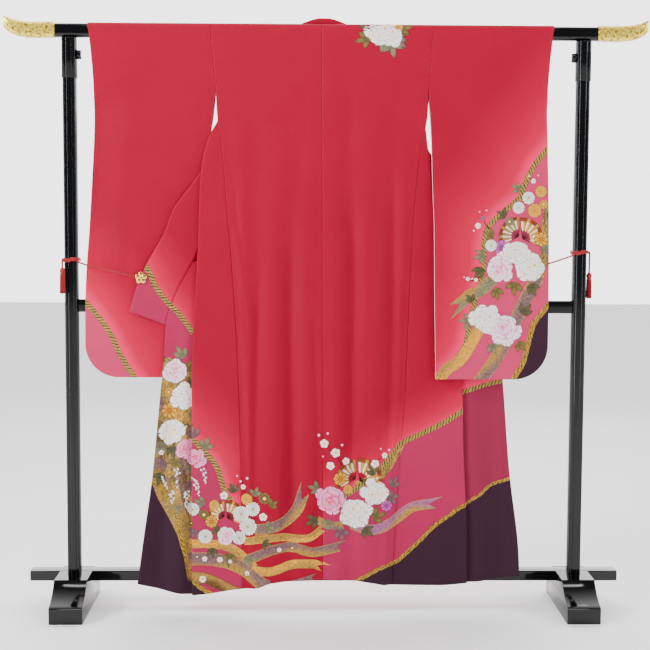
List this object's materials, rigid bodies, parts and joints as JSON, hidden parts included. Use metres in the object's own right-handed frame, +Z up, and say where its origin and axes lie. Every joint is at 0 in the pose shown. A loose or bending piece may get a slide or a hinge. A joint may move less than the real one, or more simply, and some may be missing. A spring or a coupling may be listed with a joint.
{
  "type": "furisode kimono on kimono stand",
  "caption": "Long-sleeved red kimono hung over the top rail of a black lacquered kimono stand, its back forward and its fronts tied open.",
  "frame": {"origin": "on the floor, midway between the two feet and under the middle of the top rail", "axes": "+X along the rails to the wearer's right, +Y away from the garment's back, behind the rail, +Z up"},
  "size_m": [1.838, 0.336, 1.7185],
  "materials": {
    "silk": "satin",
    "lining": "satin",
    "lacquer": "gloss",
    "gold": "satin",
    "clip_gold": "polished",
    "cord": "satin"
  },
  "bodies": {
    "root": {"body_left": "silk", "body_right": "silk", "okumi_left": "silk", "okumi_right": "silk", "collar": "silk", "sleeve_left": "silk", "sleeve_right": "silk", "furi_left_front": "lining", "furi_left_rear": "lining", "furi_right_front": "lining", "furi_right_rear": "lining", "top_rail": "lacquer", "mid_rail": "lacquer", "lower_rail": "lacquer", "post_left": "lacquer", "foot_left": "lacquer", "knob_left": "lacquer", "tip_left": "gold", "wrap_left": "cord", "tie_left": "cord", "tassel_left": "cord", "clip_left": "clip_gold", "post_right": "lacquer", "foot_right": "lacquer", "knob_right": "lacquer", "tip_right": "gold", "wrap_right": "cord", "tie_right": "cord", "tassel_right": "cord", "clip_right": "clip_gold"}
  },
  "joints": []
}
